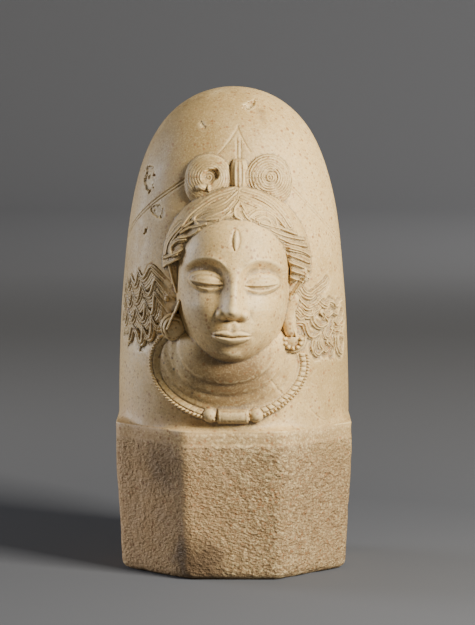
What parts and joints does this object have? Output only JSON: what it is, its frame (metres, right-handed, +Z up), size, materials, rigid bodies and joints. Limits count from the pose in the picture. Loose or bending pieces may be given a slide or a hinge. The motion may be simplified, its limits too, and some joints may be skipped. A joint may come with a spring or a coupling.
{
  "type": "linga with face",
  "caption": "Round-topped shaft of white marble on an eight-sided foot, with a head in high relief, coiled hair, earrings and a necklace.",
  "frame": {"origin": "centre of the foot's flat underside, on the axis of the shaft", "axes": "+Z up the shaft, -Y the way the face looks, +X to the right of someone who faces it"},
  "size_m": [0.281, 0.3515, 0.57],
  "materials": {
    "marble": "rubbed smooth, foot left pecked"
  },
  "bodies": {
    "root": {"carved_linga": "marble"}
  },
  "joints": []
}
